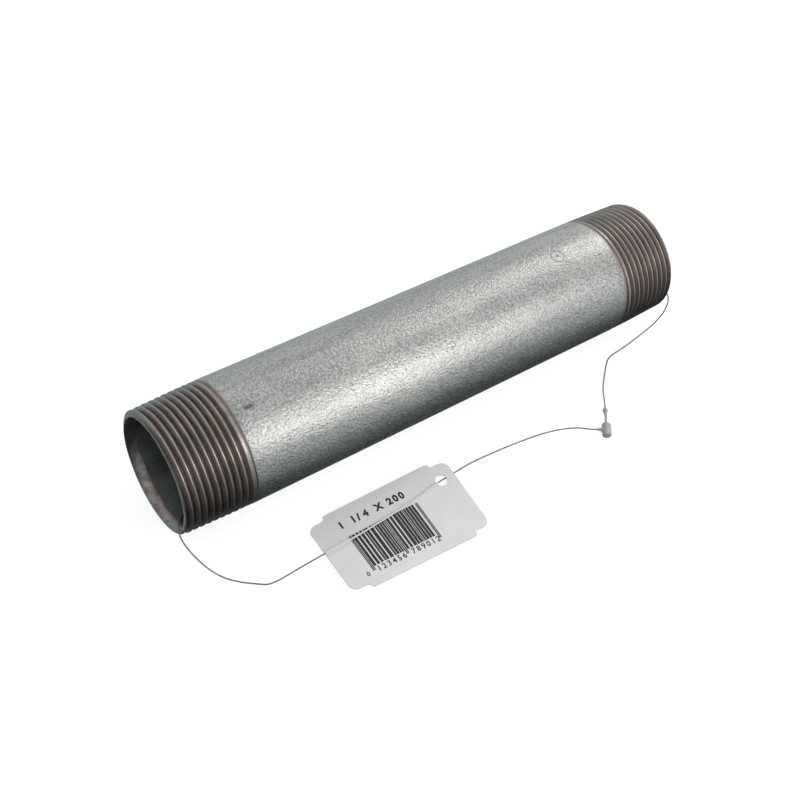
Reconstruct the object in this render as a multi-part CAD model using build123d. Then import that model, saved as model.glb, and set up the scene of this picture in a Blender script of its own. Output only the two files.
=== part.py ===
from build123d import *

import math
import os

# Galvanised steel pipe nipple, R 1 1/4 taper threads at both ends, with its tag loop.
# Millimetres. The pipe's axis is X with the origin at mid-length, and +Z is up.
# The pipe lies on its side, so the surface it rests on is at z = -PIPE_RADIUS.

# ---- pipe and thread (medium series pipe, nominal 1 1/4 inch, 11 threads per inch)
LENGTH = 200.0
PIPE_RADIUS = 21.2
BORE_RADIUS = 18.0
THREAD_PITCH = 25.4 / 11
THREAD_DEPTH = 1.479
FLANK_ANGLE = 27.5
TAPER = 1 / 32                       # radius gained per mm along a 1:16 taper
GAUGE_LENGTH = 12.7
GAUGE_MAJOR_RADIUS = 41.910 / 2
FULL_THREAD_LENGTH = 20.3            # from the end face to the first washed-out thread
THREAD_ZONE_LENGTH = 24.3            # from the end face to the zinc-coated barrel
BARE_START_RADIUS = 21.10            # the bare blank where its full taper stops
BARE_END_RADIUS = 21.14              # and where the zinc coating begins, just below the barrel
ZINC_EDGE = 0.32                     # length of the slope up to the coated barrel
END_CHAMFER = 0.6
REAM_RADIUS = 18.6                   # mouth of the shallow inner taper
REAM_LENGTH = 3.5
POINTS_PER_TURN = 12                 # points on each turn of the groove cutter's helical edges
TURNS_OUTSIDE = 1.2                  # the groove starts this many turns outside the end face
TURNS_CUT = 12                       # turns of groove, to where it has risen out of the pipe
CUTTER_PROUD = 0.2                   # how far the groove cutter stands above the crests

END_MAJOR_RADIUS = GAUGE_MAJOR_RADIUS - GAUGE_LENGTH * TAPER
END_ROOT_RADIUS = END_MAJOR_RADIUS - THREAD_DEPTH
FLANK = math.tan(math.radians(FLANK_ANGLE))
ROOT_FLAT = (THREAD_PITCH - 2 * THREAD_DEPTH * FLANK) / 2
FLOOR = -PIPE_RADIUS

# ---- tag card
TAG_CENTRE = (-34.3, -43.3)
TAG_TURN = -1.3                      # degrees about +Z
TAG_LENGTH = 54.4
TAG_WIDTH = 30.4
TAG_THICKNESS = 0.3
TAG_BOTTOM = FLOOR + 0.65            # its corner lies on the filament that passes beneath
TAG_CORNER_RADIUS = 3.0
TAG_STEP = 1.2                       # the long edges stand this far proud of the corners
TAG_STEP_INSET = 5.5
HOLE_CENTRE = (-12.6, -36.6)
HOLE_RADIUS = 2.5

# ---- loop-lock: filament, socket and barbed bullet
FILAMENT_DIAMETER = 0.5
FILAMENT_REST = FLOOR + FILAMENT_DIAMETER / 2
FILAMENT_OVER_TAG = TAG_BOTTOM + TAG_THICKNESS + FILAMENT_DIAMETER
SOCKET_CENTRE = (51.75, -48.85)
SOCKET_RADIUS = 1.65
SOCKET_LENGTH = 5.4
SOCKET_AXIS_Z = FLOOR + SOCKET_RADIUS
LOCK_TURN = 52.5                     # heading of the socket's axis, degrees from +X
SOCKET_ENTRY_RADIUS = 0.62
SOCKET_CHAMBER_RADIUS = 1.0
SOCKET_ENTRY_LENGTH = 1.2
SOCKET_TAIL_WALL = 0.9
SOCKET_EDGE = 0.4
RELIEF_LENGTH = 1.6                  # the tapered strain relief on the socket's side
RELIEF_BASE_RADIUS = 0.7
RELIEF_TIP_RADIUS = 0.36
RELIEF_DROP = 0.4
SHANK_RADIUS = 0.42
BARB_RADIUS = 0.85
BARB_LENGTH = 1.8
BEAD_RADIUS = 0.95
BEAD_PLACE = 8.5                     # from the socket's centre, along its axis
NECK_END = 10.8                      # where the bullet's neck meets the filament
NECK_RADIUS = 0.36
FIRST_RUN = 5.0                      # the filament leaves the relief and the neck in line with them
LAST_RUN = 3.0

SOCKET_PLANE = Plane(
    origin=(*SOCKET_CENTRE, SOCKET_AXIS_Z),
    x_dir=(0, 0, 1),
    z_dir=(math.cos(math.radians(LOCK_TURN)), math.sin(math.radians(LOCK_TURN)), 0),
)
SOCKET_SIDE = SOCKET_PLANE.z_dir.rotate(Axis.Z, 90)


def pipe_blank():
    """The pipe turned to its taper, with reamed mouths, before the threads are cut."""
    taper_length = (BARE_START_RADIUS - END_MAJOR_RADIUS) / TAPER
    half = LENGTH / 2
    outside = [
        (half, END_MAJOR_RADIUS - END_CHAMFER),
        (half - END_CHAMFER, END_MAJOR_RADIUS + END_CHAMFER * TAPER),
        (half - taper_length, BARE_START_RADIUS),
        (half - THREAD_ZONE_LENGTH, BARE_END_RADIUS),
        (half - THREAD_ZONE_LENGTH - ZINC_EDGE, PIPE_RADIUS),
    ]
    inside = [(half - REAM_LENGTH, BORE_RADIUS), (half, REAM_RADIUS)]
    right = inside + outside
    left = [(-x, r) for x, r in reversed(right)]
    section = make_face(Polyline(*right, *left, close=True))
    return revolve(section, Axis.X)


def root_radius(depth):
    """The groove's root radius at a distance in from the end face, rising out at the end."""
    radius = END_ROOT_RADIUS + min(depth, FULL_THREAD_LENGTH) * TAPER
    washout = max(0.0, depth - FULL_THREAD_LENGTH) / (THREAD_ZONE_LENGTH - FULL_THREAD_LENGTH)
    rise = PIPE_RADIUS - END_ROOT_RADIUS - FULL_THREAD_LENGTH * TAPER
    return radius + rise * washout**2


def helix_edge(turn_number, height, offset):
    """One turn of a right-hand helix about X, height above the root and offset along X."""
    points = []
    for step in range(POINTS_PER_TURN + 1):
        turn = step / POINTS_PER_TURN
        depth = (turn_number + turn - TURNS_OUTSIDE) * THREAD_PITCH
        radius = root_radius(depth) + height
        angle = 2 * math.pi * turn
        points.append((depth + offset - LENGTH / 2, radius * math.cos(angle), radius * math.sin(angle)))
    return Spline(*points).edge()


def groove_cutter(turn_number):
    """One turn of the V groove's cutter at the -X end, counted from outside the end face."""
    top = THREAD_DEPTH + CUTTER_PROUD
    top_half = ROOT_FLAT / 2 + top * FLANK
    corners = [(0, -ROOT_FLAT / 2), (0, ROOT_FLAT / 2), (top, top_half), (top, -top_half)]
    edges = [helix_edge(turn_number, height, offset) for height, offset in corners]
    sides = [Face.make_surface_from_curves(a, b) for a, b in zip(edges, edges[1:] + edges[:1])]
    ends = [make_face(Polyline(*[edge @ at for edge in edges], close=True)).face() for at in (0, 1)]
    return Solid(Shell(sides + ends))


def nipple():
    """The one steel piece: taper threads cut into both ends of the pipe, a turn at a time."""
    body = pipe_blank()
    for turn_number in range(TURNS_CUT):
        cutter = groove_cutter(turn_number)
        body = body - cutter - cutter.rotate(Axis.Z, 180)
    return body


def tag_card():
    """A flat card with stepped long edges, rounded corners and one punched hole."""
    long_side = TAG_LENGTH - 2 * TAG_STEP_INSET
    card = RectangleRounded(TAG_LENGTH, TAG_WIDTH - 2 * TAG_STEP, TAG_CORNER_RADIUS)
    card += Rectangle(long_side, TAG_WIDTH)
    plate = extrude(card, TAG_THICKNESS)
    plate = Pos(*TAG_CENTRE, TAG_BOTTOM) * Rot(0, 0, TAG_TURN) * plate
    punch = Cylinder(HOLE_RADIUS, 4 * TAG_THICKNESS)
    return plate - Pos(*HOLE_CENTRE, TAG_BOTTOM + TAG_THICKNESS / 2) * punch


def lock_point(along, drop=0.0):
    """A point on the socket's axis, at a distance along it from the socket's centre."""
    return SOCKET_PLANE.origin + SOCKET_PLANE.z_dir * along - Vector(0, 0, drop)


def relief_base():
    """Where the strain relief springs from, just outside the socket's chamber."""
    return Vector(*SOCKET_CENTRE, SOCKET_AXIS_Z) + SOCKET_SIDE * (SOCKET_CHAMBER_RADIUS + 0.1)


def relief_base_to_tip():
    """The strain relief's axis, which runs down a little to meet the filament."""
    reach = SOCKET_RADIUS + RELIEF_LENGTH - SOCKET_CHAMBER_RADIUS - 0.1
    return SOCKET_SIDE * reach - Vector(0, 0, RELIEF_DROP)


def filament_route():
    """The loop's corner points, from the socket's side right round to the bullet's neck."""
    relief = relief_base_to_tip()
    start = relief_base() + relief
    flat = FILAMENT_REST
    over = FILAMENT_OVER_TAG
    return [
        tuple(start),
        tuple(start + relief.normalized() * FIRST_RUN),
        (36.0, -39.2, flat),
        (20.0, -36.5, flat),
        (2.0, -35.4, flat),
        (-10.7, -36.48, flat),       # under the tag's corner, up through its hole
        (-14.5, -36.72, over),
        (-69.5, -40.2, over),        # straight across the tag
        (-82.0, -41.05, flat),       # a sharp set in the filament
        (-85.6, -38.7, flat),
        (-91.6, -34.2, flat),
        (-97.0, -27.6, -19.4),
        (-101.8, -23.0, -14.5),
        (-105.0, -18.0, -11.5),      # out past the near mouth's lip
        (-102.5, -12.2, -9.0),
        (-95.5, -11.2, -10.4),
        (-84.0, -8.5, -14.6),
        (-66.0, -3.5, -17.1),
        (-30.0, -0.5, -17.5),        # along the floor of the bore
        (25.0, 1.0, -17.5),
        (60.0, -3.0, -17.1),
        (78.0, -9.0, -14.6),
        (90.0, -13.8, -9.0),
        (98.0, -15.2, -3.0),
        (103.5, -15.0, 1.5),
        (109.5, -17.8, 0.5),         # out past the far mouth's lip
        (111.0, -19.8, -7.5),
        (108.5, -19.3, -14.5),
        (103.0, -19.3, -19.6),
        (95.0, -20.7, flat),
        (84.5, -22.3, flat),
        (76.0, -22.9, flat),         # a second sharp set
        (72.5, -25.3, flat),
        (68.0, -29.4, flat),
        tuple(lock_point(NECK_END + 8.0, 1.2)),
        tuple(lock_point(NECK_END + LAST_RUN)),
        tuple(lock_point(NECK_END)),
    ]


def arc_radii(route):
    """Each corner's arc takes 0.45 of its shorter run."""
    radii = []
    for before, here, after in zip(route, route[1:], route[2:]):
        run_in = Vector(*here) - Vector(*before)
        run_out = Vector(*after) - Vector(*here)
        half_turn = math.radians(run_in.get_angle(run_out)) / 2
        radii.append(0.45 * min(run_in.length, run_out.length) / math.tan(half_turn))
    return radii


def loop_filament():
    """The nylon filament as a tube on straight runs joined by tangent arcs."""
    route = filament_route()
    radii = arc_radii(route)
    path = FilletPolyline(*route, radius=radii)
    start = Plane(origin=path @ 0, z_dir=path % 0)
    tube = sweep(start * Circle(FILAMENT_DIAMETER / 2), path=path)
    print("arc radii", [round(radius, 1) for radius in radii])
    print("filament length", round(path.length, 1))
    print("tube volume", round(tube.volume, 2), "of", round(path.length * math.pi * FILAMENT_DIAMETER**2 / 4, 2))
    return tube


def lock_socket():
    """The barrel that the bullet snaps into, with the strain relief on its side."""
    barrel = SOCKET_PLANE * Cylinder(SOCKET_RADIUS, SOCKET_LENGTH)
    barrel = chamfer(barrel.edges(), SOCKET_EDGE)
    entry = SOCKET_LENGTH / 2
    chamber_length = SOCKET_LENGTH - SOCKET_ENTRY_LENGTH - SOCKET_TAIL_WALL
    chamber_middle = entry - SOCKET_ENTRY_LENGTH - chamber_length / 2
    relief = Plane(origin=relief_base(), z_dir=relief_base_to_tip()) * Cone(
        RELIEF_BASE_RADIUS,
        RELIEF_TIP_RADIUS,
        relief_base_to_tip().length,
        align=(Align.CENTER, Align.CENTER, Align.MIN),
    )
    body = barrel + relief
    body -= SOCKET_PLANE * Pos(0, 0, entry) * Cylinder(SOCKET_ENTRY_RADIUS, 3 * SOCKET_ENTRY_LENGTH)
    body -= SOCKET_PLANE * Pos(0, 0, chamber_middle) * Cylinder(SOCKET_CHAMBER_RADIUS, chamber_length)
    return body


def lock_bullet():
    """Barbed tip, shank, stop bead and neck, one moulding turned about the socket's axis."""
    barb_back = SOCKET_LENGTH / 2 - SOCKET_ENTRY_LENGTH - 0.25
    bead_bottom = BEAD_PLACE - BEAD_RADIUS
    outline = Polyline(
        (0, barb_back - BARB_LENGTH),
        (BARB_RADIUS, barb_back - BARB_LENGTH / 3),
        (BARB_RADIUS, barb_back),
        (SHANK_RADIUS, barb_back),
        (SHANK_RADIUS, bead_bottom),
        (BEAD_RADIUS * 0.7, BEAD_PLACE - BEAD_RADIUS * 0.7),
        (BEAD_RADIUS, BEAD_PLACE),
        (BEAD_RADIUS * 0.7, BEAD_PLACE + BEAD_RADIUS * 0.7),
        (NECK_RADIUS + 0.1, BEAD_PLACE + BEAD_RADIUS),
        (NECK_RADIUS, NECK_END),
        (0, NECK_END),
        close=True,
    )
    half_section = make_face(Plane.XZ * outline)
    return SOCKET_PLANE * revolve(half_section, Axis.Z)


PARTS = {
    "nipple": nipple,
    "tag_card": tag_card,
    "loop_filament": loop_filament,
    "lock_socket": lock_socket,
    "lock_bullet": lock_bullet,
}

os.makedirs("parts", exist_ok=True)
for name, make in PARTS.items():
    export_step(make(), f"parts/{name}.step")
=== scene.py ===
import math
import random

import bmesh
import bpy
from mathutils import Matrix, Quaternion, Vector
from mathutils.geometry import delaunay_2d_cdt


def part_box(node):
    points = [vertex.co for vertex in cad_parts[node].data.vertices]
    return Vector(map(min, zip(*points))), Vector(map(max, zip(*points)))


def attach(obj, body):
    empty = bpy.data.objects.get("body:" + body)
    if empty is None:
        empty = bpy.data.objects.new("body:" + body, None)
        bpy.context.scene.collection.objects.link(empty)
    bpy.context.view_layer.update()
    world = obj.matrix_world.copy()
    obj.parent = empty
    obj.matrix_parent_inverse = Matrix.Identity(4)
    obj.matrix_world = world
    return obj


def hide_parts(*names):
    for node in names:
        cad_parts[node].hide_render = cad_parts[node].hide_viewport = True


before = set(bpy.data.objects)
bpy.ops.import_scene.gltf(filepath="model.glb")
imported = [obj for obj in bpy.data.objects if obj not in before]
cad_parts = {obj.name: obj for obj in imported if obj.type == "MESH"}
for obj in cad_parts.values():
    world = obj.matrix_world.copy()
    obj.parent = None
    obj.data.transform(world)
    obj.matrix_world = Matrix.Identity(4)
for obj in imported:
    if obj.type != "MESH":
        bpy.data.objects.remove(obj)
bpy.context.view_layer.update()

# Lengths are in metres, in the frame of the design: the pipe's axis is X with the origin at
# mid-length, +Z is up, and the pipe lies on its side. Angles round the pipe are measured from
# +Y towards +Z.
MM = 0.001

# ---- pipe and thread
HALF_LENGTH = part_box("nipple")[1][0]
PIPE_RADIUS = 21.2 * MM
FLOOR = -PIPE_RADIUS
BORE_RADIUS = 18.0 * MM
REAM_RADIUS = 18.6 * MM
REAM_LENGTH = 3.5 * MM
PITCH = 25.4 * MM / 11
THREAD_DEPTH = 1.479 * MM
TAPER = 1 / 32
END_MAJOR_RADIUS = 20.558 * MM
END_ROOT_RADIUS = END_MAJOR_RADIUS - THREAD_DEPTH
END_CHAMFER = 0.6 * MM
FULL_THREAD = 20.3 * MM
THREAD_ZONE = 24.3 * MM
BARE_START_RADIUS = 21.10 * MM
BARE_END_RADIUS = 21.14 * MM
ZINC_EDGE = 0.32 * MM
GROOVE_START_TURN = -1.09
ROOT_HALF_WIDTH = 0.16 * MM
FLANK_WIDTH = 0.77 * MM
PROFILE_ROUNDING = 0.08
ROWS_PER_PITCH = 18
COLUMNS = 216
BARREL_STEP = 2.5 * MM
BORE_STEP = 5.0 * MM

# ---- a dark smear on the barrel, and the plain ring with a dot stamped near the far end, its groove darkened as painted shade
SMUDGE_X = -70.6 * MM
SMUDGE_TURN = math.radians(102.5)
SMUDGE_SQUASH = 0.4  # a scale along the pipe, so the smear is longer than it is wide
STAMP_X = 55.4 * MM
STAMP_RADIUS = 2.5 * MM
STAMP_DOT = 0.45 * MM
STAMP_LINE = 0.22 * MM
STAMP_DEPTH = 0.12 * MM
STAMP_REACH = 3.3 * MM
STAMP_STEP = 0.13 * MM

# ---- tag card
TAG_CENTRE = Vector((-34.8 * MM, -44.15 * MM))
TAG_TURN = math.radians(-1.2)
TAG_LENGTH = 54.4 * MM
TAG_WIDTH = 30.4 * MM
TAG_THICKNESS = 0.3 * MM
TAG_CORNER = 3.0 * MM
TAG_STEP = 1.7 * MM
TAG_STEP_INSET = 6.4 * MM
TAG_LIFT = 1.53 * MM  # its centre, as two corners rest on the floor and two stand off it
TAG_LEAST_LIFT = 0.02 * MM
TAG_TILT = 0.0102  # down towards the pipe
TAG_SLOPE = 0.0057  # down towards the hole's end
TAG_TWIST = 2.7  # per metre: up at the hole's corner and at the one opposite
TAG_BOW = 0.49  # per metre: both ends bend down
TAG_GRID = 2.0 * MM
TOOTH_PITCH = 0.95 * MM
TOOTH_DEPTH = 0.16 * MM
HOLE_CENTRE = Vector((-12.95 * MM, -36.95 * MM))
HOLE_RADIUS = 2.3 * MM
HOLE_RAGGED = 0.28 * MM
HOLE_POINTS = 28

# ---- the card's print, from the card's centre
PRINT_LIFT = 0.02 * MM
BARS_LEFT = -17.3 * MM
BARS_RIGHT = 9.3 * MM
BARS_TOP = 4.4 * MM
BARS_FOOT = -8.9 * MM
GUARD_FOOT = -10.3 * MM
BAR_MODULES = 95
BAR_SPREAD = 0.2  # of a module, the ink's spread on each side
SIZE_TEXT = "1 1/4 X 200"
SIZE_LEFT = -18.0 * MM
SIZE_FOOT = 8.0 * MM
SIZE_STEP = 2.34 * MM
SIZE_HEIGHT = 3.5 * MM
SIZE_WEIGHT = 0.18 * MM
DIGITS = "123456789012"
DIGIT_GROUP = 6
DIGITS_LEFTS = (-15.9 * MM, -2.6 * MM)
DIGITS_FOOT = -11.2 * MM
DIGITS_STEP = 1.95 * MM
DIGITS_HEIGHT = 2.75 * MM
DIGITS_WEIGHT = 0.06 * MM
FIRST_DIGIT_LEFT = -20.0 * MM
FIRST_DIGIT_SCALE = 0.8

# ---- the loop, as a route, and its lock
FILAMENT = 0.5 * MM
FILAMENT_REST = FLOOR + FILAMENT / 2
# Where the line lies over the card: there its colour is painted near white, as the card seen through
# it.
ON_CARD_MIDDLE = -38.6 * MM
ON_CARD_HALF = 23.2 * MM
ON_CARD_FRONT = -33 * MM
SOCKET_RADIUS = 1.65 * MM
SOCKET_LENGTH = 5.4 * MM
MOUTH_RADIUS = 0.62 * MM
CHAMBER_RADIUS = 1.0 * MM
SEAM_DEPTH = 0.06 * MM
SOCKET_CENTRE = Vector((51.75 * MM, -48.85 * MM, FLOOR + SOCKET_RADIUS))
LOCK_TURN = math.radians(52.5)
LOCK_AXIS = Vector((math.cos(LOCK_TURN), math.sin(LOCK_TURN), 0))
SOCKET_SIDE = Vector((-math.sin(LOCK_TURN), math.cos(LOCK_TURN), 0))
RELIEF_BASE = SOCKET_CENTRE + SOCKET_SIDE * 1.1 * MM
RELIEF = SOCKET_SIDE * 2.15 * MM - Vector((0, 0, 0.4 * MM))
BARB_RADIUS = 0.85 * MM
SHANK_RADIUS = 0.42 * MM
BEAD_PLACE = 8.5 * MM
BEAD_RADIUS = 0.95 * MM
NECK_RADIUS = 0.33 * MM
NECK_END = 10.8 * MM
FILAMENT_GAP = 0.02 * MM
LATHE_SIDES = 40

# ---- camera, at the height and side the picture was taken from
CAMERA_PLACE = Vector((-0.20055, -0.18858, 0.32129))
CAMERA_YAW = math.radians(46.31)
CAMERA_PITCH = math.radians(51.69)
CAMERA_ROLL = math.radians(14.13)
CAMERA_LENS = 56.21
CAMERA_SENSOR = 36

# ---- lights: name, place, target, size, power in watts, roll in degrees
LIGHTS = (
    ("right_front", (0.24, -0.62, 0.50), (-0.03, 0, 0), (0.18, 0.40), 1.4, 25),
    ("right_back", (0.86, 0.40, 0.76), (0.06, 0, 0), (0.45, 0.22), 1.55, 0),
)
LIGHT_TINT = (1, 0.98, 0.95)

# ---- floor and studio room
FLOOR_HALF = 12.0
FLOOR_GREY = 0.6
FLOOR_GLOW = 0.75
ROOM_TINT = (0.97, 0.985, 1, 1)
ROOM_STRENGTH = 0.61
TABLE_TINT = (0.72, 0.94, 1, 1)
TABLE_FRONT_STRENGTH = 0.03
TABLE_BACK_STRENGTH = 0.5
TABLE_TOP = -0.05  # as the height of a direction, where the table ends on the right
TABLE_FADE = 0.65
TABLE_RISE = 0.52  # how much higher it ends on the left


# ---------------------------------------------------------------- small helpers

def add_object(name, data):
    """Puts a mesh, curve, light or camera into the scene as an object of that name."""
    piece = bpy.data.objects.new(name, data)
    bpy.context.scene.collection.objects.link(piece)
    return piece


def clean_mesh(name, work, smooth=True):
    """Turns a bmesh into a mesh: doubles merged, collapsed faces gone, normals outward."""
    bmesh.ops.remove_doubles(work, verts=work.verts, dist=1e-6)
    bmesh.ops.dissolve_degenerate(work, edges=work.edges, dist=1e-7)
    bmesh.ops.recalc_face_normals(work, faces=work.faces)
    mesh = bpy.data.meshes.new(name)
    work.to_mesh(mesh)
    work.free()
    mesh.polygons.foreach_set("use_smooth", [smooth] * len(mesh.polygons))
    return mesh


def soft_clamp(value, rounding):
    """Clamps to 0..1 with rounded shoulders."""
    if value <= -rounding:
        return 0.0
    if value < rounding:
        return (value + rounding) ** 2 / (4 * rounding)
    if value <= 1 - rounding:
        return value
    if value < 1 + rounding:
        return 1 - (1 + rounding - value) ** 2 / (4 * rounding)
    return 1.0


def lathe(work, start, axis, profile):
    """Turns (along, radius) pairs about an axis; a profile that ends at radius 0 is closed."""
    side = axis.orthogonal().normalized()
    other = axis.cross(side)
    angles = [2 * math.pi * step / LATHE_SIDES for step in range(LATHE_SIDES)]
    rings = []
    for along, radius in profile:
        centre = start + axis * along
        if radius < 1e-7:
            rings.append([work.verts.new(centre)] * LATHE_SIDES)
        else:
            rings.append([
                work.verts.new(centre + (side * math.cos(a) + other * math.sin(a)) * radius)
                for a in angles
            ])
    for ring, following in zip(rings, rings[1:]):
        for step in range(LATHE_SIDES):
            after = (step + 1) % LATHE_SIDES
            corners = [ring[step], ring[after], following[after], following[step]]
            corners = list(dict.fromkeys(corners))
            if len(corners) > 2:
                work.faces.new(corners)


def rounding_arc(along, radius, turn_from, turn_to, size, steps=6):
    """Points of a rounded corner in a lathe profile, between two angles in degrees."""
    points = []
    for step in range(steps + 1):
        angle = math.radians(turn_from + (turn_to - turn_from) * step / steps)
        points.append((along + size * math.cos(angle), radius + size * math.sin(angle)))
    return points


# ---------------------------------------------------------------- finishes

class Finish:
    """A material and short calls for the nodes that the finishes here are made of."""

    def __init__(self, name):
        self.material = bpy.data.materials.new(name)
        self.material.use_nodes = True
        self.tree = self.material.node_tree
        self.shader = self.tree.nodes["Principled BSDF"]
        self.place = self.tree.nodes.new("ShaderNodeTexCoord").outputs["Object"]

    def put(self, source, socket):
        """Links an output to a socket, or sets the socket to a plain value."""
        if isinstance(source, bpy.types.NodeSocket):
            self.tree.links.new(source, socket)
        else:
            socket.default_value = source

    def math(self, operation, first, second=0.0):
        node = self.tree.nodes.new("ShaderNodeMath")
        node.operation = operation
        self.put(first, node.inputs[0])
        self.put(second, node.inputs[1])
        return node.outputs[0]

    def stretched(self, x, y, z):
        """The place on the object with its axes scaled; a small scale draws a pattern out."""
        node = self.tree.nodes.new("ShaderNodeVectorMath")
        node.operation = "MULTIPLY"
        self.put(self.place, node.inputs[0])
        self.put((x, y, z), node.inputs[1])
        return node.outputs[0]

    def noise(self, vector, scale, detail=3.0, roughness=0.55):
        node = self.tree.nodes.new("ShaderNodeTexNoise")
        self.put(vector, node.inputs["Vector"])
        self.put(scale, node.inputs["Scale"])
        self.put(detail, node.inputs["Detail"])
        self.put(roughness, node.inputs["Roughness"])
        return node.outputs["Fac"]

    def spread(self, value, low, high, out_low=0.0, out_high=1.0):
        """Maps low..high to a new range, clamped and eased."""
        node = self.tree.nodes.new("ShaderNodeMapRange")
        node.interpolation_type = "SMOOTHSTEP"
        self.put(value, node.inputs["Value"])
        self.put(low, node.inputs["From Min"])
        self.put(high, node.inputs["From Max"])
        self.put(out_low, node.inputs["To Min"])
        self.put(out_high, node.inputs["To Max"])
        return node.outputs["Result"]

    def mix(self, factor, first, second):
        """Blends two colours, each a plain colour or an output."""
        node = self.tree.nodes.new("ShaderNodeMix")
        node.data_type = "RGBA"
        colours = [socket for socket in node.inputs if socket.type == "RGBA"]
        self.put(factor, node.inputs["Factor"])
        self.put((*first, 1) if isinstance(first, tuple) else first, colours[0])
        self.put((*second, 1) if isinstance(second, tuple) else second, colours[1])
        return next(socket for socket in node.outputs if socket.type == "RGBA")

    def attribute(self, name):
        """A value that the mesh carries at its vertices."""
        node = self.tree.nodes.new("ShaderNodeAttribute")
        node.attribute_name = name
        return node.outputs["Fac"]

    def bump(self, height, distance, strength, under=None):
        """A bumped normal, on top of another one if that is given."""
        node = self.tree.nodes.new("ShaderNodeBump")
        self.put(height, node.inputs["Height"])
        self.put(distance, node.inputs["Distance"])
        self.put(strength, node.inputs["Strength"])
        if under is not None:
            self.put(under, node.inputs["Normal"])
        return node.outputs["Normal"]

    def smudge(self):
        """1 inside a small ragged smear on top of the barrel near the first thread."""
        across = math.cos(SMUDGE_TURN) * PIPE_RADIUS
        up = math.sin(SMUDGE_TURN) * PIPE_RADIUS
        shift = self.tree.nodes.new("ShaderNodeVectorMath")
        shift.operation = "SUBTRACT"
        self.put(self.stretched(SMUDGE_SQUASH, 1, 1), shift.inputs[0])
        self.put((SMUDGE_X * SMUDGE_SQUASH, across, up), shift.inputs[1])
        length = self.tree.nodes.new("ShaderNodeVectorMath")
        length.operation = "LENGTH"
        self.put(shift.outputs[0], length.inputs[0])
        ragged = self.math("MULTIPLY", self.noise(self.place, 1000, 3, 0.7), 2.6 * MM)
        return self.spread(self.math("ADD", length.outputs["Value"], ragged), 2.5 * MM, 1.5 * MM)

    def set(self, **values):
        """Sets or links the shader's own sockets; underscores stand for spaces."""
        for name, value in values.items():
            self.put(value, self.shader.inputs[name.replace("_", " ")])
        return self.material


def zinc_finish():
    """Hot-dip zinc: cloudy and streaked, coarsely grained, with drag lines, pits, one smudge and
    painted shade in the stamped ring.
    """
    finish = Finish("zinc_coat")
    along = finish.stretched(0.35, 1, 1)
    broad = finish.spread(finish.noise(along, 55, 3), 0.33, 0.67)
    mottle = finish.spread(finish.noise(finish.stretched(0.5, 1, 1), 300, 4, 0.65), 0.3, 0.7)
    streaks = finish.noise(finish.stretched(0.12, 1, 1), 150, 3, 0.6)
    drag = finish.noise(finish.stretched(0.03, 1, 1), 1300, 2)
    grain = finish.noise(finish.stretched(0.8, 1, 1), 1600, 2, 0.6)
    pits = finish.spread(finish.noise(finish.stretched(0.5, 1, 1), 620, 3, 0.6), 0.64, 0.73)
    colour = finish.mix(mottle, (0.54, 0.55, 0.535), (0.64, 0.635, 0.61))
    colour = finish.mix(finish.math("MULTIPLY", broad, 0.5), colour, (0.40, 0.42, 0.415))
    colour = finish.mix(finish.spread(streaks, 0.42, 0.62, 0.0, 0.6), colour, (0.40, 0.41, 0.42))
    colour = finish.mix(finish.spread(drag, 0.35, 0.65, 0.0, 0.15), colour, (0.36, 0.37, 0.37))
    colour = finish.mix(finish.spread(grain, 0.48, 0.62, 0.0, 0.4), colour, (0.93, 0.905, 0.83))
    colour = finish.mix(finish.spread(grain, 0.48, 0.36, 0.0, 0.35), colour, (0.24, 0.245, 0.24))
    colour = finish.mix(finish.math("MULTIPLY", pits, 0.55), colour, (0.17, 0.17, 0.17))
    colour = finish.mix(finish.math("MULTIPLY", finish.smudge(), 0.75), colour, (0.10, 0.10, 0.10))
    # Painted shade: the zinc darkens in step with the stamp's depth, in the stamped ring and its dot.
    stamp_shade = finish.math("MULTIPLY", finish.attribute("stamp_shade"), 0.6)
    colour = finish.mix(stamp_shade, colour, (0.15, 0.15, 0.15))
    roughness = finish.spread(grain, 0.3, 0.7, 0.25, 0.38)
    normal = finish.bump(grain, 0.23 * MM, 1.0)
    normal = finish.bump(drag, 0.015 * MM, 0.25, under=normal)
    return finish.set(Base_Color=colour, Metallic=0.9, Roughness=roughness, Normal=normal)


def thread_finish():
    """Bare cut steel under a film of oil: painted shade in the roots, painted highlight on the
    crests, turning marks.
    """
    finish = Finish("cut_thread")
    turning = finish.noise(finish.stretched(1, 0.04, 0.04), 6000, 2)
    patches = finish.noise(finish.place, 130, 3)
    fine = finish.noise(finish.place, 1500, 3, 0.65)
    uneven = finish.spread(fine, 0.2, 0.8, -0.2, 0.2)
    level = finish.math("ADD", finish.attribute("crest"), uneven)
    # Painted shade and highlight: by crest height the roots are darkened and the crests lightened,
    # with random unevenness.
    colour = finish.mix(finish.spread(level, 0.0, 0.5), (0.12, 0.103, 0.095), (0.41, 0.36, 0.34))
    colour = finish.mix(finish.spread(level, 0.7, 1.05), colour, (0.47, 0.42, 0.40))
    colour = finish.mix(finish.spread(patches, 0.5, 0.72, 0.0, 0.4), colour, (0.21, 0.19, 0.13))
    colour = finish.mix(finish.spread(turning, 0.35, 0.65, 0.0, 0.25), colour, (0.17, 0.15, 0.14))
    roughness = finish.spread(fine, 0.3, 0.7, 0.30, 0.5)
    normal = finish.bump(turning, 0.02 * MM, 0.5)
    normal = finish.bump(fine, 0.04 * MM, 0.5, under=normal)
    return finish.set(Base_Color=colour, Metallic=0.92, Roughness=roughness, Normal=normal)


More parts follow.
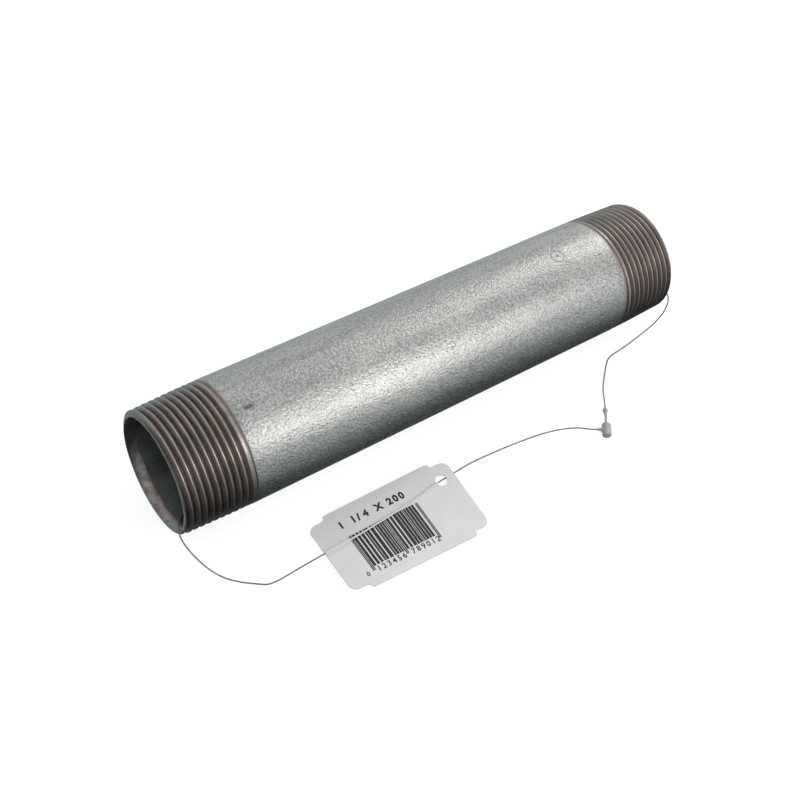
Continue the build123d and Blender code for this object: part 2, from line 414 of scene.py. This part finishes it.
def rim_finish():
    """The sawn and reamed end: lighter steel with burrs and a rusty tinge."""
    finish = Finish("cut_end")
    patches = finish.noise(finish.place, 350, 4, 0.65)
    fine = finish.noise(finish.place, 1800, 3)
    colour = finish.mix(finish.spread(patches, 0.35, 0.65), (0.26, 0.225, 0.21), (0.45, 0.405, 0.385))
    colour = finish.mix(finish.spread(fine, 0.5, 0.75, 0.0, 0.5), colour, (0.14, 0.115, 0.105))
    normal = finish.bump(fine, 0.08 * MM, 0.6)
    return finish.set(Base_Color=colour, Metallic=1.0, Roughness=0.42, Normal=normal)


def bore_finish():
    """The pipe's inside: dull, scaly zinc with a green-grey cast, coloured darker than the outer zinc
    as painted shade inside the bore.
    """
    finish = Finish("bore_zinc")
    patches = finish.noise(finish.stretched(0.4, 1, 1), 140, 4, 0.6)
    fine = finish.noise(finish.place, 1200, 3)
    # Painted shade: this zinc is coloured far darker than the barrel's, for the inside of the pipe
    # lying in shade.
    colour = finish.mix(finish.spread(patches, 0.3, 0.7), (0.11, 0.12, 0.11), (0.24, 0.26, 0.235))
    normal = finish.bump(fine, 0.06 * MM, 0.6)
    return finish.set(Base_Color=colour, Metallic=0.7, Roughness=0.55, Normal=normal)


def card_finish():
    """Coated card, slightly uneven in tone."""
    finish = Finish("tag_stock")
    clouds = finish.noise(finish.place, 90, 3)
    fibre = finish.noise(finish.stretched(1, 0.5, 1), 2600, 3)
    colour = finish.mix(finish.spread(clouds, 0.3, 0.7), (0.92, 0.90, 0.89), (0.96, 0.945, 0.935))
    colour = finish.mix(finish.spread(fibre, 0.55, 0.75, 0.0, 0.12), colour, (0.55, 0.53, 0.52))
    normal = finish.bump(fibre, 0.02 * MM, 0.3)
    return finish.set(Base_Color=colour, Roughness=0.55, Normal=normal)


def ink_finish():
    """Thermal-transfer print, a little starved in places."""
    finish = Finish("print_black")
    starve = finish.noise(finish.place, 2400, 2)
    colour = finish.mix(
        finish.spread(starve, 0.58, 0.78, 0.0, 0.6), (0.022, 0.022, 0.024), (0.30, 0.29, 0.29)
    )
    return finish.set(Base_Color=colour, Roughness=0.4)


def filament_finish():
    """Clear nylon line with what shows through it painted: grey over open floor, and nearly white
    where it lies on the card.
    """
    finish = Finish("filament_nylon")
    cloud = finish.spread(finish.noise(finish.place, 500, 2), 0.3, 0.7)
    apart = finish.tree.nodes.new("ShaderNodeSeparateXYZ")
    finish.put(finish.place, apart.inputs[0])
    from_middle = finish.math("SUBTRACT", apart.outputs["X"], ON_CARD_MIDDLE)
    from_middle = finish.math("ABSOLUTE", from_middle)
    on_card = finish.spread(from_middle, ON_CARD_HALF + 0.8 * MM, ON_CARD_HALF)
    in_front = finish.spread(apart.outputs["Y"], ON_CARD_FRONT + 3 * MM, ON_CARD_FRONT)
    on_card = finish.math("MULTIPLY", on_card, in_front)
    # Painted see-through: dark grey for the line over open floor and near white over the card, for
    # what shows through and is reflected in the clear nylon.
    painted_see_through_grey = finish.mix(cloud, (0.20, 0.20, 0.21), (0.34, 0.34, 0.35))
    colour = finish.mix(on_card, painted_see_through_grey, (0.95, 0.93, 0.92))
    return finish.set(Base_Color=colour, Roughness=0.3, IOR=1.53)


def nylon_finish(name, tint, clearness):
    """Natural nylon: milky, slightly uneven and softly glossy."""
    finish = Finish(name)
    cloud = finish.noise(finish.place, 700, 3)
    fine = finish.noise(finish.place, 3000, 2)
    paler = tuple(min(1.0, value * 1.12) for value in tint)
    colour = finish.mix(finish.spread(cloud, 0.35, 0.65), tint, paler)
    normal = finish.bump(fine, 0.02 * MM, 0.4)
    return finish.set(
        Base_Color=colour,
        Roughness=0.28,
        IOR=1.53,
        Transmission_Weight=clearness,
        Normal=normal,
    )


# ---------------------------------------------------------------- camera, light and floor

def make_camera():
    """The camera, turned from level by its yaw, pitch and roll."""
    forward = Vector((
        math.cos(CAMERA_PITCH) * math.sin(CAMERA_YAW),
        math.cos(CAMERA_PITCH) * math.cos(CAMERA_YAW),
        -math.sin(CAMERA_PITCH),
    ))
    level = Vector((math.cos(CAMERA_YAW), -math.sin(CAMERA_YAW), 0))
    upright = level.cross(forward)
    right = level * math.cos(CAMERA_ROLL) + upright * math.sin(CAMERA_ROLL)
    up = upright * math.cos(CAMERA_ROLL) - level * math.sin(CAMERA_ROLL)
    data = bpy.data.cameras.new("camera")
    data.lens = CAMERA_LENS
    data.sensor_width = CAMERA_SENSOR
    data.clip_start = 0.01
    data.clip_end = 20
    camera = add_object("camera", data)
    turn = Matrix((right, up, -forward)).transposed().to_4x4()
    camera.matrix_world = Matrix.Translation(CAMERA_PLACE) @ turn
    bpy.context.scene.camera = camera


def make_light(name, place, target, size, power, roll):
    """A soft panel that faces its target, turned about its own middle by the roll."""
    data = bpy.data.lights.new(name, "AREA")
    data.shape = "RECTANGLE"
    data.size, data.size_y = size
    data.energy = power
    data.color = LIGHT_TINT
    light = add_object(name, data)
    light.location = place
    aim = (Vector(target) - Vector(place)).to_track_quat("-Z", "Y")
    light.rotation_euler = (aim @ Quaternion((0, 0, 1), math.radians(roll))).to_euler()


def make_floor():
    """A plain pale floor, hidden from the object's mirror and bounce rays.

    The pipe so reflects the studio room alone, the world's dark table included.
    """
    work = bmesh.new()
    half = FLOOR_HALF
    corners = [(-half, -half), (half, -half), (half, half), (-half, half)]
    work.faces.new([work.verts.new((*corner, FLOOR)) for corner in corners])
    floor = add_object("floor", clean_mesh("floor", work))
    floor.data.materials.append(Finish("floor_paper").set(
        Base_Color=(FLOOR_GREY, FLOOR_GREY, FLOOR_GREY, 1),
        Roughness=0.9,
        Emission_Color=(1, 1, 1, 1),
        Emission_Strength=FLOOR_GLOW,
    ))
    floor.visible_diffuse = False
    floor.visible_glossy = False
    floor.visible_transmission = False


def map_range(tree, source, low, high, out_low, out_high):
    """Maps low..high to a new range in the world's nodes, clamped and eased."""
    node = tree.nodes.new("ShaderNodeMapRange")
    node.interpolation_type = "SMOOTHSTEP"
    for socket, value in zip(node.inputs[1:5], (low, high, out_low, out_high)):
        socket.default_value = value
    tree.links.new(source, node.inputs["Value"])
    return node.outputs["Result"]


def make_world():
    """A studio: an even pale room, and below it a dark table that is lighter at the back.

    The table's dark reaches up higher on the left than on the right.
    """
    world = bpy.data.worlds.new("studio")
    world.use_nodes = True
    tree = world.node_tree
    place = tree.nodes.new("ShaderNodeTexCoord").outputs["Generated"]
    split = tree.nodes.new("ShaderNodeSeparateXYZ")
    tree.links.new(place, split.inputs[0])
    lower = tree.nodes.new("ShaderNodeMath")
    lower.operation = "SUBTRACT"
    tree.links.new(split.outputs["Z"], lower.inputs[0])
    rise = map_range(tree, split.outputs["X"], -0.3, 0.3, TABLE_RISE, 0)
    tree.links.new(rise, lower.inputs[1])
    above = map_range(tree, lower.outputs[0], TABLE_TOP - TABLE_FADE, TABLE_TOP, 0, 1)
    front, back = TABLE_FRONT_STRENGTH, TABLE_BACK_STRENGTH
    strength = tree.nodes.new("ShaderNodeMix")
    strength.data_type = "FLOAT"
    tree.links.new(above, strength.inputs[0])
    tree.links.new(map_range(tree, split.outputs["Y"], 0, 0.6, front, back), strength.inputs[2])
    strength.inputs[3].default_value = ROOM_STRENGTH
    tint = tree.nodes.new("ShaderNodeMix")
    tint.data_type = "RGBA"
    tree.links.new(above, tint.inputs["Factor"])
    colours = [socket for socket in tint.inputs if socket.type == "RGBA"]
    colours[0].default_value = TABLE_TINT
    colours[1].default_value = ROOM_TINT
    tinted = next(socket for socket in tint.outputs if socket.type == "RGBA")
    background = tree.nodes["Background"]
    tree.links.new(tinted, background.inputs["Color"])
    tree.links.new(strength.outputs[0], background.inputs["Strength"])
    bpy.context.scene.world = world
    bpy.context.scene.view_settings.view_transform = "Standard"


# ---------------------------------------------------------------- the filament

def filament_route():
    """The loop's control points, from the socket's side round to the bullet's neck."""
    flat = FILAMENT_REST / MM
    start = RELIEF_BASE + RELIEF
    listed_points = [
        # along the floor to the tag
        (43.7, -42.0, flat),
        (34.6, -38.7, flat),
        (22.0, -36.8, flat),
        (2.0, -35.3, flat),
        # up through the tag's hole and over the card
        (-8.6, -36.3, flat + 0.4),
        (-15.6, -37.5, flat + 2.5),
        (-24.3, -38.9, flat + 1.95),
        (-39.6, -40.2, flat + 2.1),
        (-50.3, -41.1, flat + 2.5),
        (-63.5, -41.4, flat + 2.7),
        (-72.2, -40.8, flat + 0.3),
        # round to the near mouth and over its lip
        (-82.0, -41.2, flat),
        (-85.4, -38.7, flat),
        (-89.0, -36.1, flat),
        (-93.0, -32.1, flat),
        (-96.4, -28.4, -18.2),
        (-99.4, -24.2, -13.7),
        (-100.8, -20.8, -10.8),
        (-101.2, -18.1, -8.4),
        (-99.8, -15.1, -9.2),
        (-97.2, -11.3, -13.7),
        # through the bore
        (-94.5, -7.8, -16.0),
        (-84.0, -5.5, -16.9),
        (-66.0, -3.5, -17.2),
        (-30.0, -0.5, -17.6),
        (25.0, 1.0, -17.6),
        (60.0, -3.0, -17.2),
        (78.0, -9.0, -14.6),
        # over the far lip and down the end face
        (90.0, -13.6, -9.6),
        (96.8, -15.4, -6.7),
        (101.3, -15.5, -4.5),
        (103.5, -18.4, -4.4),
        (102.0, -20.8, -5.6),
        (101.8, -21.2, -8.6),
        (102.1, -21.0, -12.0),
        (101.5, -20.4, -16.2),
        (100.9, -19.8, -19.6),
        # along the floor to the bullet
        (98.2, -19.9, flat),
        (92.0, -21.0, flat),
        (84.5, -22.3, flat),
        (76.0, -22.9, flat),
        (72.5, -25.3, flat),
        (68.0, -29.4, flat),
    ]
    return (
        [start, start + RELIEF.normalized() * 3 * MM]
        + [Vector(point) * MM for point in listed_points]
        + [
            SOCKET_CENTRE + LOCK_AXIS * (NECK_END + 8 * MM) - Vector((0, 0, 1.2 * MM)),
            SOCKET_CENTRE + LOCK_AXIS * (NECK_END + 3 * MM),
            SOCKET_CENTRE + LOCK_AXIS * (NECK_END + FILAMENT_GAP),
        ]
    )


def make_filament():
    """The loop's line as one smooth curve along its route."""
    route = filament_route()
    curve = bpy.data.curves.new("filament", "CURVE")
    curve.dimensions = "3D"
    curve.bevel_depth = FILAMENT / 2
    curve.bevel_resolution = 4
    curve.use_fill_caps = True
    curve.resolution_u = 12
    spline = curve.splines.new("NURBS")
    spline.points.add(len(route) - 1)
    for point, place in zip(spline.points, route):
        point.co = (*place, 1)
    spline.order_u = 3
    spline.use_endpoint_u = True
    filament = add_object("filament", curve)
    curve.materials.append(filament_finish())
    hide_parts("loop_filament")
    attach(filament, "loop")
    return filament


# ---------------------------------------------------------------- the nipple

def column_angles():
    """Angles round the pipe: even, but close together across the stamp at the top."""
    reach = STAMP_REACH / PIPE_RADIUS
    count = round(2 * STAMP_REACH / STAMP_STEP)
    fine = [math.pi / 2 - reach + 2 * reach * step / count for step in range(count + 1)]
    even = [2 * math.pi * column / COLUMNS for column in range(COLUMNS)]
    clear = reach + math.pi / COLUMNS
    return sorted(fine + [angle for angle in even if abs(angle - math.pi / 2) > clear])


ANGLES = column_angles()


def blank_radius(depth):
    """The turned blank's radius at a distance in from the end face."""
    chamfered = END_MAJOR_RADIUS - END_CHAMFER + depth * (1 + TAPER)
    tapered = END_MAJOR_RADIUS + depth * TAPER
    bare_from = (BARE_START_RADIUS - END_MAJOR_RADIUS) / TAPER
    bare_rise = (BARE_END_RADIUS - BARE_START_RADIUS) / (THREAD_ZONE - bare_from)
    bare = BARE_START_RADIUS + max(0.0, depth - bare_from) * bare_rise
    return min(chamfered, tapered, bare)


def root_radius(depth):
    """The groove's root radius, rising out of the metal over the washed-out threads."""
    radius = END_ROOT_RADIUS + min(depth, FULL_THREAD) * TAPER
    washout = max(0.0, depth - FULL_THREAD) / (THREAD_ZONE - FULL_THREAD)
    return radius + (PIPE_RADIUS - END_ROOT_RADIUS - FULL_THREAD * TAPER) * washout**2


def thread_point(depth, angle):
    """A point on the threaded surface, and how high it stands between root and crest."""
    turn = angle / (2 * math.pi)
    groove = (depth / PITCH - turn - GROOVE_START_TURN + 0.5) % 1.0 - 0.5
    rise = (abs(groove) * PITCH - ROOT_HALF_WIDTH) / FLANK_WIDTH
    cut = root_radius(depth) + THREAD_DEPTH * soft_clamp(rise, PROFILE_ROUNDING)
    radius = min(blank_radius(depth), cut)
    crest = 1 - (blank_radius(depth) - radius) / THREAD_DEPTH
    return Vector((depth - HALF_LENGTH, radius * math.cos(angle), radius * math.sin(angle))), crest


def add_quad(work, material, *corners):
    """A face with that material, with the corners that have fallen together left out."""
    kept = []
    for corner in corners:
        if all((corner.co - other.co).length > 1e-7 for other in kept):
            kept.append(corner)
    if len(kept) > 2:
        work.faces.new(kept).material_index = material


def add_thread_end(work, crest_layer, flip):
    """One threaded end in rows that follow the helix, from the end face in to the zinc."""
    first = -ROWS_PER_PITCH - 1
    last = round(THREAD_ZONE / PITCH * ROWS_PER_PITCH) + 1
    turned = Matrix.Rotation(math.pi if flip else 0.0, 3, "Z")
    rows = []
    for row in range(first, last + 1):
        verts = []
        for angle in ANGLES:
            depth = (row / ROWS_PER_PITCH + angle / (2 * math.pi)) * PITCH
            place, crest = thread_point(min(max(depth, 0.0), THREAD_ZONE), angle)
            vert = work.verts.new(turned @ place)
            vert[crest_layer] = crest
            verts.append(vert)
        rows.append(verts)
    for index in range(len(rows) - 1):
        row, following = rows[index], rows[index + 1]
        next_turn = rows[min(index + ROWS_PER_PITCH, len(rows) - 1)]
        after_next = rows[min(index + 1 + ROWS_PER_PITCH, len(rows) - 1)]
        for column in range(len(ANGLES) - 1):
            add_quad(work, 1, row[column], row[column + 1], following[column + 1], following[column])
        add_quad(work, 1, row[-1], next_turn[0], after_next[0], following[-1])


def add_rings(work, mark_layer, stations, material, sink=None):
    """Rings round the axis at (x, radius) stations, joined by faces."""
    rings = []
    for x, radius in stations:
        ring = []
        for angle in ANGLES:
            depth = sink(x, angle) if sink else 0.0
            reach = radius - depth
            vert = work.verts.new((x, reach * math.cos(angle), reach * math.sin(angle)))
            vert[mark_layer] = depth / STAMP_DEPTH
            ring.append(vert)
        rings.append(ring)
    for ring, following in zip(rings, rings[1:]):
        for column in range(len(ANGLES)):
            after = (column + 1) % len(ANGLES)
            add_quad(work, material, ring[column], ring[after], following[after], following[column])


def stamp_sink(x, angle):
    """How deep the stamped ring and its centre dot go below the barrel at a place."""
    across = (angle - math.pi / 2) * PIPE_RADIUS
    distance = math.hypot(x - STAMP_X, across)
    from_ring = abs(distance - STAMP_RADIUS)
    from_dot = max(0.0, distance - STAMP_DOT + STAMP_LINE)
    return STAMP_DEPTH * max(0.0, 1 - min(from_ring, from_dot) / STAMP_LINE)


def barrel_stations():
    """Stations along the coated barrel, close together across the stamp."""
    edge = HALF_LENGTH - THREAD_ZONE
    coated = edge - ZINC_EDGE
    count = round(2 * coated / BARREL_STEP)
    places = [-coated + 2 * coated * step / count for step in range(count + 1)]
    places = [x for x in places if abs(x - STAMP_X) > STAMP_REACH + BARREL_STEP / 4]
    fine = round(2 * STAMP_REACH / STAMP_STEP)
    places += [STAMP_X - STAMP_REACH + 2 * STAMP_REACH * step / fine for step in range(fine + 1)]
    stations = [(x, PIPE_RADIUS) for x in sorted(places)]
    return [(-edge, BARE_END_RADIUS)] + stations + [(edge, BARE_END_RADIUS)]


def bore_stations():
    """Stations through the straight part of the bore."""
    straight = HALF_LENGTH - REAM_LENGTH
    count = round(2 * straight / BORE_STEP)
    return [(-straight + 2 * straight * step / count, BORE_RADIUS) for step in range(count + 1)]


def add_end_face(work, side):
    """The sawn face between the reamed mouth and the thread."""
    inner = []
    outer = []
    for angle in ANGLES:
        looked_up = angle if side < 0 else (math.pi - angle) % (2 * math.pi)
        place = thread_point(0.0, looked_up)[0]
        centre = Vector((side * HALF_LENGTH, 0, 0))
        radial = Vector((0, math.cos(angle), math.sin(angle)))
        inner.append(work.verts.new(centre + radial * REAM_RADIUS))
        outer.append(work.verts.new(centre + radial * math.hypot(place.y, place.z)))
    for column in range(len(ANGLES)):
        after = (column + 1) % len(ANGLES)
        add_quad(work, 2, inner[column], inner[after], outer[after], outer[column])


def make_nipple():
    """The pipe in one closed mesh: threads, coated barrel, bore, reamed mouths, end faces."""
    work = bmesh.new()
    crest_layer = work.verts.layers.float.new("crest")
    mark_layer = work.verts.layers.float.new("stamp_shade")
    add_thread_end(work, crest_layer, flip=False)
    add_thread_end(work, crest_layer, flip=True)
    add_rings(work, mark_layer, barrel_stations(), 0, stamp_sink)
    add_rings(work, mark_layer, bore_stations(), 3)
    for side in (-1, 1):
        mouth = [(side * HALF_LENGTH, REAM_RADIUS), (side * (HALF_LENGTH - REAM_LENGTH), BORE_RADIUS)]
        add_rings(work, mark_layer, mouth, 2)
        add_end_face(work, side)
    mesh = clean_mesh("nipple_body", work)
    nipple = add_object("nipple_body", mesh)
    for finish in (zinc_finish, thread_finish, rim_finish, bore_finish):
        mesh.materials.append(finish())
    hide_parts("nipple")
    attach(nipple, "pipe")
    return nipple


# ---------------------------------------------------------------- the tag

def corner_arc(x, y, turn_from, turn_to, steps=8):
    """A rounded corner of the card, between two angles in degrees."""
    points = []
    for step in range(steps + 1):
        angle = math.radians(turn_from + (turn_to - turn_from) * step / steps)
        points.append((x + TAG_CORNER * math.cos(angle), y + TAG_CORNER * math.sin(angle)))
    return points


def tag_outline():
    """The card's outline in its own plane: stepped long edges, finely toothed short edges."""
    half_length = TAG_LENGTH / 2
    half_width = TAG_WIDTH / 2
    shoulder = half_width - TAG_STEP
    step_at = half_length - TAG_STEP_INSET
    side = shoulder - TAG_CORNER
    teeth = round(2 * side / TOOTH_PITCH)
    half = []
    for tooth in range(1, teeth):
        notch = TOOTH_DEPTH if tooth % 2 else 0.0
        half.append((half_length - notch, -side + 2 * side * tooth / teeth))
    half += corner_arc(half_length - TAG_CORNER, side, 0, 90)
    half += [(step_at + 0.7 * MM, shoulder), (step_at + 0.1 * MM, shoulder + 0.3 * MM)]
    half += [(step_at - 0.3 * MM, half_width - 0.3 * MM), (step_at - 0.8 * MM, half_width)]
    half += [(-step_at + 0.8 * MM, half_width), (-step_at + 0.3 * MM, half_width - 0.3 * MM)]
    half += [(-step_at - 0.1 * MM, shoulder + 0.3 * MM), (-step_at - 0.7 * MM, shoulder)]
    half += corner_arc(-half_length + TAG_CORNER, side, 90, 180)
    return [Vector(point) for point in half] + [-Vector(point) for point in half]


def tag_local(place):
    """A point of the floor plane in the card's own plane."""
    return Matrix.Rotation(-TAG_TURN, 2) @ (place - TAG_CENTRE)


def tag_height(local):
    """The card's underside, which is twisted and bowed."""
    rise = TAG_LIFT - TAG_TILT * local.y - TAG_SLOPE * local.x
    rise += TAG_TWIST * local.x * local.y - TAG_BOW * local.x**2
    return FLOOR + max(rise, TAG_LEAST_LIFT)


def tag_place(local, lift):
    """A point in the card's plane, set into the scene at a height above its underside."""
    flat = TAG_CENTRE + Matrix.Rotation(TAG_TURN, 2) @ local
    return Vector((flat.x, flat.y, tag_height(local) + lift))


def hole_outline():
    """A punched hole with a torn, uneven edge."""
    draw = random.Random(5)
    centre = tag_local(HOLE_CENTRE)
    points = []
    for step in range(HOLE_POINTS):
        angle = 2 * math.pi * step / HOLE_POINTS
        radius = HOLE_RADIUS + HOLE_RAGGED * (draw.random() - 0.5)
        points.append(centre + Vector((math.cos(angle), math.sin(angle))) * radius)
    return points


def card_grid():
    """Points inside the card, clear of its edges and its hole, so that it can bend."""
    centre = tag_local(HOLE_CENTRE)
    corner = Vector((TAG_LENGTH / 2, TAG_WIDTH / 2))
    columns = int(TAG_LENGTH / 2 / TAG_GRID)
    rows = int((TAG_WIDTH / 2 - TAG_STEP) / TAG_GRID)
    points = []
    for column in range(-columns, columns + 1):
        for row in range(-rows, rows + 1):
            point = Vector((column, row)) * TAG_GRID
            from_corner = corner - Vector((abs(point.x), abs(point.y)))
            clear_of_hole = (point - centre).length > HOLE_RADIUS + TAG_GRID / 3
            if clear_of_hole and from_corner.length > TAG_CORNER + TAG_GRID:
                points.append(point)
    return points


def card_triangles():
    """The flat card cut into triangles round its hole: its points, and three of them each."""
    outline = tag_outline()
    hole = hole_outline()
    rim = [(i, (i + 1) % len(outline)) for i in range(len(outline))]
    rim += [(len(outline) + i, len(outline) + (i + 1) % len(hole)) for i in range(len(hole))]
    points = outline + hole + card_grid()
    flat, _, triangles = delaunay_2d_cdt(points, rim, [], 2, 1e-7)[:3]
    centre = tag_local(HOLE_CENTRE)
    kept = []
    for triangle in triangles:
        middle = sum((flat[i] for i in triangle), Vector((0, 0))) / 3
        if (middle - centre).length > HOLE_RADIUS * 0.9:
            kept.append(triangle)
    return flat, kept


def make_tag():
    """The card as a thin closed sheet, hidden from mirror rays: the pipe doesn't show it."""
    flat, triangles = card_triangles()
    work = bmesh.new()
    under = [work.verts.new(tag_place(point, 0)) for point in flat]
    over = [work.verts.new(tag_place(point, TAG_THICKNESS)) for point in flat]
    sides = {}
    for triangle in triangles:
        work.faces.new([over[i] for i in triangle])
        work.faces.new([under[i] for i in reversed(triangle)])
        for start, end in zip(triangle, triangle[1:] + triangle[:1]):
            sides.setdefault(frozenset((start, end)), []).append((start, end))
    for uses in sides.values():
        if len(uses) == 1:
            start, end = uses[0]
            work.faces.new([over[end], over[start], under[start], under[end]])
    tag = add_object("tag", clean_mesh("tag", work, smooth=False))
    tag.data.materials.append(card_finish())
    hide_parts("tag_card")
    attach(tag, "tag")
    tag.visible_glossy = False
    return tag


# ---------------------------------------------------------------- the tag's print

def print_point(work, x, y):
    """A vertex of the print, just above the card."""
    return work.verts.new(tag_place(Vector((x, y)), TAG_THICKNESS + PRINT_LIFT))


def add_printed_bar(work, left, right, foot):
    """A printed bar that follows the card."""
    count = 6
    levels = [foot + (BARS_TOP - foot) * step / count for step in range(count + 1)]
    lefts = [print_point(work, left, y) for y in levels]
    rights = [print_point(work, right, y) for y in levels]
    for step in range(count):
        work.faces.new([lefts[step], rights[step], rights[step + 1], lefts[step + 1]])


def add_bars(work):
    """Made-up bars, which spell nothing, between longer guard bars."""
    draw = random.Random(11)
    module = (BARS_RIGHT - BARS_LEFT) / BAR_MODULES
    bars = [(at, at + 1, GUARD_FOOT) for at in (0, 2, 46, 48, 92, 94)]
    for at, end in ((4, 45), (50, 91)):
        while at < end:
            wide = min(draw.choice((1, 2, 2, 3, 3, 4)), end - at)
            bars.append((at, at + wide, BARS_FOOT))
            at += wide + draw.choice((1, 1, 1, 2, 2))
    for start, stop, foot in bars:
        left = BARS_LEFT + (start - BAR_SPREAD) * module
        right = BARS_LEFT + (stop + BAR_SPREAD) * module
        add_printed_bar(work, left, right, foot)


def add_character(work, character, left, foot, height, weight):
    """One character of the built-in typeface, laid on the card."""
    text = bpy.data.curves.new("character", "FONT")
    text.body = character
    text.size = height
    text.offset = weight
    text.resolution_u = 3
    holder = add_object("character", text)
    mesh = bpy.data.meshes.new_from_object(holder)
    verts = [print_point(work, left + vert.co.x, foot + vert.co.y) for vert in mesh.vertices]
    for polygon in mesh.polygons:
        work.faces.new([verts[index] for index in polygon.vertices])
    bpy.data.objects.remove(holder)
    bpy.data.curves.remove(text)
    bpy.data.meshes.remove(mesh)


def make_print():
    """A size in plain figures, bars, and a row of digits in counting order."""
    work = bmesh.new()
    add_bars(work)
    for place, character in enumerate(SIZE_TEXT):
        if character != " ":
            left = SIZE_LEFT + place * SIZE_STEP
            add_character(work, character, left, SIZE_FOOT, SIZE_HEIGHT, SIZE_WEIGHT)
    small = DIGITS_HEIGHT * FIRST_DIGIT_SCALE
    add_character(work, "0", FIRST_DIGIT_LEFT, DIGITS_FOOT, small, DIGITS_WEIGHT)
    for place, character in enumerate(DIGITS):
        left = DIGITS_LEFTS[place // DIGIT_GROUP] + place % DIGIT_GROUP * DIGITS_STEP
        add_character(work, character, left, DIGITS_FOOT, DIGITS_HEIGHT, DIGITS_WEIGHT)
    bmesh.ops.triangulate(work, faces=work.faces)
    mesh = bpy.data.meshes.new("tag_print")
    work.to_mesh(mesh)
    work.free()
    printed = add_object("tag_print", mesh)
    mesh.materials.append(ink_finish())
    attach(printed, "tag")
    return printed


# ---------------------------------------------------------------- the loop-lock

def make_socket():
    """A rounded barrel with an open mouth, and the strain relief flaring out of its side."""
    half = SOCKET_LENGTH / 2
    edge = 0.7 * MM
    shoulder = 0.9 * MM
    profile = [(-half, 0.0)]
    profile += rounding_arc(-half + edge, SOCKET_RADIUS - edge, 180, 90, edge)
    profile += [(-0.9 * MM, SOCKET_RADIUS), (-0.8 * MM, SOCKET_RADIUS - SEAM_DEPTH)]
    profile += [(-0.6 * MM, SOCKET_RADIUS - SEAM_DEPTH), (-0.5 * MM, SOCKET_RADIUS)]
    profile += rounding_arc(half - shoulder, SOCKET_RADIUS - shoulder, 90, 0, shoulder)
    profile += [(half - 0.05 * MM, MOUTH_RADIUS + 0.04 * MM), (half - 0.2 * MM, MOUTH_RADIUS)]
    profile += [(half - 1.2 * MM, MOUTH_RADIUS), (half - 1.25 * MM, CHAMBER_RADIUS)]
    profile += [(-half + 0.95 * MM, CHAMBER_RADIUS), (-half + 0.9 * MM, 0.0)]
    work = bmesh.new()
    lathe(work, SOCKET_CENTRE, LOCK_AXIS, profile)
    reach = RELIEF.length
    flare = [(0.0, 0.0), (0.0, 1.0 * MM), (0.25 * reach, 0.86 * MM), (0.42 * reach, 0.62 * MM)]
    flare += [(0.62 * reach, 0.5 * MM), (0.85 * reach, 0.42 * MM), (reach, 0.36 * MM), (reach, 0.0)]
    lathe(work, RELIEF_BASE, RELIEF.normalized(), flare)
    socket = add_object("socket", clean_mesh("socket", work))
    socket.data.materials.append(nylon_finish("socket_nylon", (0.80, 0.74, 0.73), 0.35))
    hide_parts("lock_socket")
    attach(socket, "loop")
    return socket


def make_bullet():
    """The barbed shank, its stop bead and the neck that the filament is drawn from."""
    back = 1.25 * MM
    profile = [(back - 1.8 * MM, 0.0), (back - 1.75 * MM, 0.18 * MM), (back - 0.6 * MM, 0.8 * MM)]
    profile += [(back - 0.5 * MM, BARB_RADIUS), (back - 0.05 * MM, BARB_RADIUS)]
    profile += [(back, 0.8 * MM), (back + 0.05 * MM, 0.46 * MM)]
    profile += [(back + 0.3 * MM, SHANK_RADIUS), (4.5 * MM, 0.44 * MM)]
    profile += [(BEAD_PLACE - 1.4 * MM, 0.54 * MM)]
    profile += rounding_arc(BEAD_PLACE, 0.0, 145, 32, BEAD_RADIUS, steps=12)
    profile += [(BEAD_PLACE + 1.15 * MM, 0.42 * MM), (NECK_END - 0.4 * MM, 0.36 * MM)]
    profile += [(NECK_END, NECK_RADIUS), (NECK_END, 0.0)]
    work = bmesh.new()
    lathe(work, SOCKET_CENTRE, LOCK_AXIS, profile)
    bullet = add_object("bullet", clean_mesh("bullet", work))
    bullet.data.materials.append(nylon_finish("bullet_nylon", (0.70, 0.68, 0.67), 0.35))
    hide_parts("lock_bullet")
    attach(bullet, "bullet")
    return bullet


make_camera()
filament = make_filament()
socket = make_socket()
bullet = make_bullet()
tag = make_tag()
printed = make_print()
make_nipple()

make_world()
make_floor()
for light in LIGHTS:
    make_light(*light)
